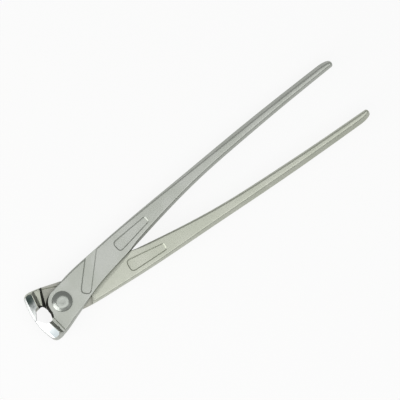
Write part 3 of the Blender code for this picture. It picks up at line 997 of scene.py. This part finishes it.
class NodeTree:
    """A Principled material under construction."""

    def __init__(self, name: str) -> None:
        """Start a material with this name."""
        self.material = bpy.data.materials.new(name)
        self.material.use_nodes = True
        self.nodes = self.material.node_tree.nodes
        self.links = self.material.node_tree.links
        self.shader = self.nodes["Principled BSDF"]

    def set(self, socket: str, value: float | Colour) -> None:
        """Set one of the shader's own sockets."""
        self.shader.inputs[socket].default_value = value

    def join(self, output: bpy.types.NodeSocket, socket: str) -> None:
        """Link an output to one of the shader's sockets."""
        self.links.new(output, self.shader.inputs[socket])

    def coordinates(self) -> bpy.types.NodeSocket:
        """Return the object coordinates, in metres."""
        return self.nodes.new("ShaderNodeTexCoord").outputs["Object"]

    def scaled(self, place: bpy.types.NodeSocket, scale: Place) -> bpy.types.NodeSocket:
        """Return the coordinates stretched by a scale along each axis."""
        node = self.nodes.new("ShaderNodeMapping")
        node.inputs["Scale"].default_value = scale
        self.links.new(place, node.inputs["Vector"])
        return node.outputs["Vector"]

    def noise(self, place: bpy.types.NodeSocket, noise: Noise) -> bpy.types.NodeSocket:
        """Return a noise value over the coordinates."""
        node = self.nodes.new("ShaderNodeTexNoise")
        node.inputs["Scale"].default_value = noise.scale
        node.inputs["Detail"].default_value = noise.detail
        node.inputs["Roughness"].default_value = noise.roughness
        self.links.new(place, node.inputs["Vector"])
        return node.outputs["Fac"]

    def mapped(self, value: bpy.types.NodeSocket, source: Point = (0.0, 1.0),
               target: Point = (0.0, 1.0), kind: str = "LINEAR") -> bpy.types.NodeSocket:
        """Return a value mapped from one range to another and kept inside it.

        Args:
            value: the value's socket.
            source: the range that the value comes from.
            target: the range that it goes to.
            kind: how it runs between the two ends, as Blender names it.

        Returns:
            The mapped value's socket.
        """
        node = self.nodes.new("ShaderNodeMapRange")
        node.interpolation_type = kind
        for name, number in zip(("From Min", "From Max", "To Min", "To Max"), source + target):
            node.inputs[name].default_value = number
        self.links.new(value, node.inputs["Value"])
        return node.outputs["Result"]

    def around(self, value: bpy.types.NodeSocket, middle: float, reach: Point
               ) -> bpy.types.NodeSocket:
        """Return a 0 to 1 value spread around a middle, as far as reach says."""
        return self.mapped(value, target=(middle + reach[0], middle + reach[1]))

    def times(self, value: bpy.types.NodeSocket, factor: float,
              plus: bpy.types.NodeSocket | None = None) -> bpy.types.NodeSocket:
        """Return a value times a factor, plus another value if one is given."""
        node = self.nodes.new("ShaderNodeMath")
        node.operation = "MULTIPLY" if plus is None else "MULTIPLY_ADD"
        node.inputs[1].default_value = factor
        self.links.new(value, node.inputs[0])
        if plus is not None:
            self.links.new(plus, node.inputs[2])
        return node.outputs["Value"]

    def mix(self, share: bpy.types.NodeSocket, first: Colour, second: Colour
            ) -> bpy.types.NodeSocket:
        """Return a mix of two colours."""
        node = self.nodes.new("ShaderNodeMix")
        node.data_type = "RGBA"
        node.inputs["A"].default_value = first
        node.inputs["B"].default_value = second
        self.links.new(share, node.inputs["Factor"])
        return node.outputs["Result"]

    def nearness(self, place: bpy.types.NodeSocket, centre: Place, radius: float,
                 wobble: bpy.types.NodeSocket) -> bpy.types.NodeSocket:
        """Return 1 at a centre, falling to 0 at a radius, with an uneven border.

        Args:
            place: the coordinates.
            centre: the middle of the patch.
            radius: where the patch ends.
            wobble: a noise value that shifts the border.

        Returns:
            The share's value socket.
        """
        distance = self.nodes.new("ShaderNodeVectorMath")
        distance.operation = "DISTANCE"
        distance.inputs[1].default_value = centre
        self.links.new(place, distance.inputs[0])
        shifted = self.times(wobble, radius * PATCH_WOBBLE, distance.outputs["Value"])
        border = (radius * PATCH_OUTER, radius * PATCH_INNER)
        return self.mapped(shifted, source=border, kind="SMOOTHSTEP")

    def bump(self, height: bpy.types.NodeSocket, relief: Relief, share: float = 1.0,
             under: bpy.types.NodeSocket | None = None) -> bpy.types.NodeSocket:
        """Return a normal that shows a height.

        Args:
            height: the height's value socket.
            relief: strength and height of the relief.
            share: how much of the relief is left.
            under: a normal to add this one to.

        Returns:
            The normal socket.
        """
        node = self.nodes.new("ShaderNodeBump")
        node.inputs["Strength"].default_value = relief.strength * share
        node.inputs["Distance"].default_value = relief.height
        self.links.new(height, node.inputs["Height"])
        if under is not None:
            self.links.new(under, node.inputs["Normal"])
        return node.outputs["Normal"]


@dataclass(frozen=True)
class Finishes:
    """Every finish of the tool: the plate, the ground faces in a lit and a shaded copy, and what lies
    inside, some of it painted shade.
    """

    plate: PlatedForging = PlatedForging(
        "plated_forging", (0.47, 0.49, 0.445, 1.0), (0.52, 0.535, 0.50, 1.0))
    warm_plate: PlatedForging = PlatedForging(
        "plated_forging_warm", (0.52, 0.54, 0.46, 1.0), (0.56, 0.575, 0.50, 1.0))
    # lighter copy of the ground finish for the upper lever's jaw, as painted light
    bright: GroundSteel = GroundSteel(
        "ground_steel", (0.40, 0.41, 0.405, 1.0), (0.19, 0.21, 0.215, 1.0),
        (-0.0165, -0.0155), 0.0125)
    # darker copy of the same ground finish for the lower lever's jaw, as painted shade, with a
    # near-black patch of painted dark reflection at its outer end
    shaded: GroundSteel = GroundSteel(
        "ground_steel_smoky", (0.29, 0.30, 0.295, 1.0), (0.014, 0.020, 0.018, 1.0),
        (-0.0158, 0.0135), 0.0128)
    # machined lap floor, its colour darkened below the plate's as painted shade for the recess it lies
    # in
    lap: PlatedForging = PlatedForging(
        "machined_lap_painted_shade", (0.385, 0.39, 0.345, 1.0), (0.42, 0.42, 0.375, 1.0))
    # near-black painted shade for the hollow, the boss's side and the recess's back wall
    hollow: PlatedForging = PlatedForging(
        "hollow_painted_shade", (0.052, 0.052, 0.046, 1.0), (0.068, 0.068, 0.060, 1.0),
        roughness=0.80, metallic=0.0, specular=0.06)
    rivet: PlatedForging = PlatedForging(
        "turned_rivet", (0.37, 0.39, 0.36, 1.0), (0.40, 0.42, 0.39, 1.0),
        roughness=0.29, pitted=0.05)
    # front faces, with a mild patch of painted shade where the two cutting edges meet
    front: GroundSteel = GroundSteel(
        "ground_front", (0.42, 0.43, 0.425, 1.0), (0.36, 0.37, 0.37, 1.0), (-0.0210, 0.0), 0.0050)
    # darker copy of the plate for the step behind the ridge, as painted shade
    step: PlatedForging = PlatedForging(
        "step_painted_shade", (0.31, 0.32, 0.295, 1.0), (0.34, 0.35, 0.325, 1.0))


def middle_height() -> float:
    """Return the height of the tool's middle plane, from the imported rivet."""
    low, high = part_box("rivet")
    return (low[2] + high[2]) / 2


@dataclass
class Rivet:
    """The rivet: a shank with a cone shaped head and a shallow dimple at each end."""

    middle_z: float
    shank_radius: float = 0.0045
    seat: float = 0.0057
    head_radius: float = 0.0071
    face_radius: float = 0.0038
    head_height: float = 0.0018
    dimple_radius: float = 0.0019
    dimple_depth: float = 0.00004
    dimple_slope: float = 0.0006
    dimple_rounding: float = 0.0003
    face_rounding: float = 0.0014
    rim_rounding: float = 0.0011
    steps: int = 96
    corner_steps: int = 5

    def build(self) -> bpy.types.Object:
        """Return the rivet as one turned piece."""
        top = self.seat + self.head_height
        face = Vector((self.face_radius, 0.0, top))
        rim = Vector((self.head_radius, 0.0, self.seat))
        outline = [Vector((0.0, 0.0, top - self.dimple_depth)),
                   Vector((self.dimple_radius - self.dimple_slope, 0.0, top - self.dimple_depth)),
                   Vector((self.dimple_radius, 0.0, top)), face, rim,
                   Vector((self.shank_radius, 0.0, self.seat))]
        radii = [0.0, self.dimple_rounding, self.dimple_rounding, self.face_rounding,
                 self.rim_rounding, 0.0]
        upper = rounded(outline, radii, self.corner_steps)
        profile = upper + [Vector((p.x, 0.0, -p.z)) for p in reversed(upper)]
        bm = bmesh.new()
        verts = [bm.verts.new(p) for p in profile]
        edges = [bm.edges.new(pair) for pair in zip(verts, verts[1:])]
        bmesh.ops.spin(bm, geom=verts + edges, axis=(0.0, 0.0, 1.0), cent=(0.0, 0.0, 0.0),
                       angle=2 * math.pi, steps=self.steps, use_merge=True)
        bmesh.ops.remove_doubles(bm, verts=bm.verts, dist=TINY)
        bmesh.ops.translate(bm, verts=bm.verts, vec=(0.0, 0.0, self.middle_z))
        return new_object(bm, "rivet_turned")


@dataclass
class Nippers:
    """The dressed tool: both levers and the rivet, each riding on its body."""

    forging: Forging = field(default_factory=Forging)
    finishes: Finishes = field(default_factory=Finishes)
    smooth_angle: float = 32.0

    def dress(self, piece: bpy.types.Object, body: Body, node: str,
              finishes: Sequence[bpy.types.Material]) -> None:
        """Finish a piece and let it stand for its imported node.

        Args:
            piece: the new piece.
            body: the body that it moves with.
            node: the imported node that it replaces.
            finishes: its materials, in slot order.
        """
        for finish in finishes:
            piece.data.materials.append(finish)
        piece.data.shade_smooth()
        piece.data.set_sharp_from_angle(angle=math.radians(self.smooth_angle))
        normals = piece.modifiers.new("weighted_normals", "WEIGHTED_NORMAL")
        normals.keep_sharp = True
        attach(piece, body.value)
        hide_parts(node)
        log.info("%s: %d faces on body %s", piece.name, len(piece.data.polygons), body.value)

    def build(self) -> None:
        """Build and dress the three pieces."""
        middle = middle_height()
        upper = self.forging.build("upper_forging")
        lower = bpy.data.objects.new("lower_forging", upper.data.copy())
        bpy.context.collection.objects.link(lower)
        turn = Matrix.Rotation(math.pi, 4, "X")
        lift = Matrix.Translation((0.0, 0.0, middle))
        upper.data.transform(lift)
        lower.data.transform(lift @ turn)
        rivet = Rivet(middle).build()
        kinds = self.finishes
        inside = [kind.material() for kind in (kinds.lap, kinds.hollow, kinds.front, kinds.step)]
        self.dress(upper, Body.UPPER, "upper_lever",
                   [kinds.plate.material(), kinds.bright.material(), *inside])
        self.dress(lower, Body.LOWER, "lower_lever",
                   [kinds.warm_plate.material(), kinds.shaded.material(), *inside])
        self.dress(rivet, Body.LOWER, "rivet", [kinds.rivet.material()])


@dataclass(frozen=True)
class SoftLamp:
    """A rectangular lamp that points at the tool and isn't seen itself."""

    name: str
    place: Place
    size: Point
    watts: float

    def hang(self) -> None:
        """Add the lamp to the scene."""
        data = bpy.data.lights.new(self.name, "AREA")
        data.shape = "RECTANGLE"
        data.size, data.size_y = self.size
        data.energy = self.watts
        lamp = bpy.data.objects.new(self.name, data)
        lamp.location = self.place
        lamp.rotation_euler = (-Vector(self.place)).to_track_quat("-Z", "Y").to_euler()
        lamp.visible_camera = False
        bpy.context.collection.objects.link(lamp)


@dataclass
class Studio:
    """A pale floor, soft lamps and the camera of the photograph."""

    lamps: tuple[SoftLamp, ...] = (
        SoftLamp("overhead", (-0.05, -0.35, 1.25), (1.7, 1.3), 9.6),
        SoftLamp("front", (-1.1, -0.10, 0.42), (1.2, 0.8), 10.5),
    )
    floor_half: float = 1.5
    floor_gap: float = 0.0001
    floor_colour: Colour = (0.82, 0.82, 0.81, 1.0)
    floor_roughness: float = 0.9
    seen_glow: float = 0.88            # share of plain white in what the camera sees of it
    mirrored_glow: float = 0.45        # share of plain white in its reflections
    surroundings: Colour = (0.31, 0.315, 0.31, 1.0)
    backdrop: Colour = (1.0, 1.0, 1.0, 1.0)
    azimuth: float = -36.97
    tilt: float = 6.5
    roll: float = -0.027
    distance: float = 2.5
    metres_per_pixel: float = 0.0006341
    pivot_pixel: Point = (62.53, 302.18)
    view_end: float = 20.0

    def build(self) -> None:
        """Make the floor, the lamps, the world and the camera."""
        self.make_floor()
        for lamp in self.lamps:
            lamp.hang()
        self.make_world()
        self.make_camera()
        bpy.context.scene.view_settings.view_transform = "Standard"

    def make_floor(self) -> None:
        """Lay the floor under the lowest point of the tool."""
        bm = bmesh.new()
        bmesh.ops.create_grid(bm, x_segments=1, y_segments=1, size=self.floor_half)
        bmesh.ops.translate(bm, verts=bm.verts, vec=(0.0, 0.0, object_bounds()[0][2] - self.floor_gap))
        floor = new_object(bm, "floor")
        nodes = NodeTree("pale_floor")
        nodes.set("Roughness", self.floor_roughness)
        nodes.set("Base Color", self.floor_colour)
        glow = nodes.nodes.new("ShaderNodeEmission")
        glow.inputs["Strength"].default_value = 1.0
        path = nodes.nodes.new("ShaderNodeLightPath")
        mirrored = nodes.times(path.outputs["Is Glossy Ray"], self.mirrored_glow)
        share = nodes.times(path.outputs["Is Camera Ray"], self.seen_glow, mirrored)
        blend = nodes.nodes.new("ShaderNodeMixShader")
        nodes.links.new(share, blend.inputs["Fac"])
        nodes.links.new(nodes.shader.outputs["BSDF"], blend.inputs[1])
        nodes.links.new(glow.outputs["Emission"], blend.inputs[2])
        nodes.links.new(blend.outputs["Shader"], nodes.nodes["Material Output"].inputs["Surface"])
        floor.data.materials.append(nodes.material)
        floor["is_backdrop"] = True

    def make_world(self) -> None:
        """Give a grey surrounding light and a white background for the camera."""
        world = bpy.data.worlds.new("studio")
        world.use_nodes = True
        tree = world.node_tree
        light = tree.nodes["Background"]
        light.inputs["Color"].default_value = self.surroundings
        light.inputs["Strength"].default_value = 1.0
        white = tree.nodes.new("ShaderNodeBackground")
        white.inputs["Color"].default_value = self.backdrop
        path = tree.nodes.new("ShaderNodeLightPath")
        blend = tree.nodes.new("ShaderNodeMixShader")
        tree.links.new(path.outputs["Is Camera Ray"], blend.inputs["Fac"])
        tree.links.new(light.outputs["Background"], blend.inputs[1])
        tree.links.new(white.outputs["Background"], blend.inputs[2])
        tree.links.new(blend.outputs["Shader"], tree.nodes["World Output"].inputs["Surface"])
        bpy.context.scene.world = world

    def make_camera(self) -> None:
        """Place the camera so that the pivot falls on its pixel of the picture."""
        pivot = Vector((0.0, 0.0, middle_height()))
        azimuth = math.radians(self.azimuth)
        rotation = (Matrix.Rotation(azimuth, 3, "Z")
                    @ Matrix.Rotation(math.radians(self.tilt), 3, "X")
                    @ Matrix.Rotation(math.radians(self.roll), 3, "Z"))
        across = (self.pivot_pixel[0] - PICTURE_SIZE / 2) * self.metres_per_pixel
        up = (PICTURE_SIZE / 2 - self.pivot_pixel[1]) * self.metres_per_pixel
        data = bpy.data.cameras.new("camera")
        data.sensor_width = SENSOR_WIDTH
        data.lens = self.distance / self.metres_per_pixel * SENSOR_WIDTH / PICTURE_SIZE
        data.clip_end = self.view_end
        camera = bpy.data.objects.new("camera", data)
        camera.rotation_euler = rotation.to_euler()
        camera.location = pivot - rotation @ Vector((across, up, -self.distance))
        bpy.context.collection.objects.link(camera)
        bpy.context.scene.camera = camera


def main() -> None:
    """Dress the tool and set up the studio."""
    logging.basicConfig(level=logging.INFO, format="%(name)s: %(message)s")
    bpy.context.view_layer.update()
    Nippers().build()
    Studio().build()


if __name__ == "__main__":
    main()
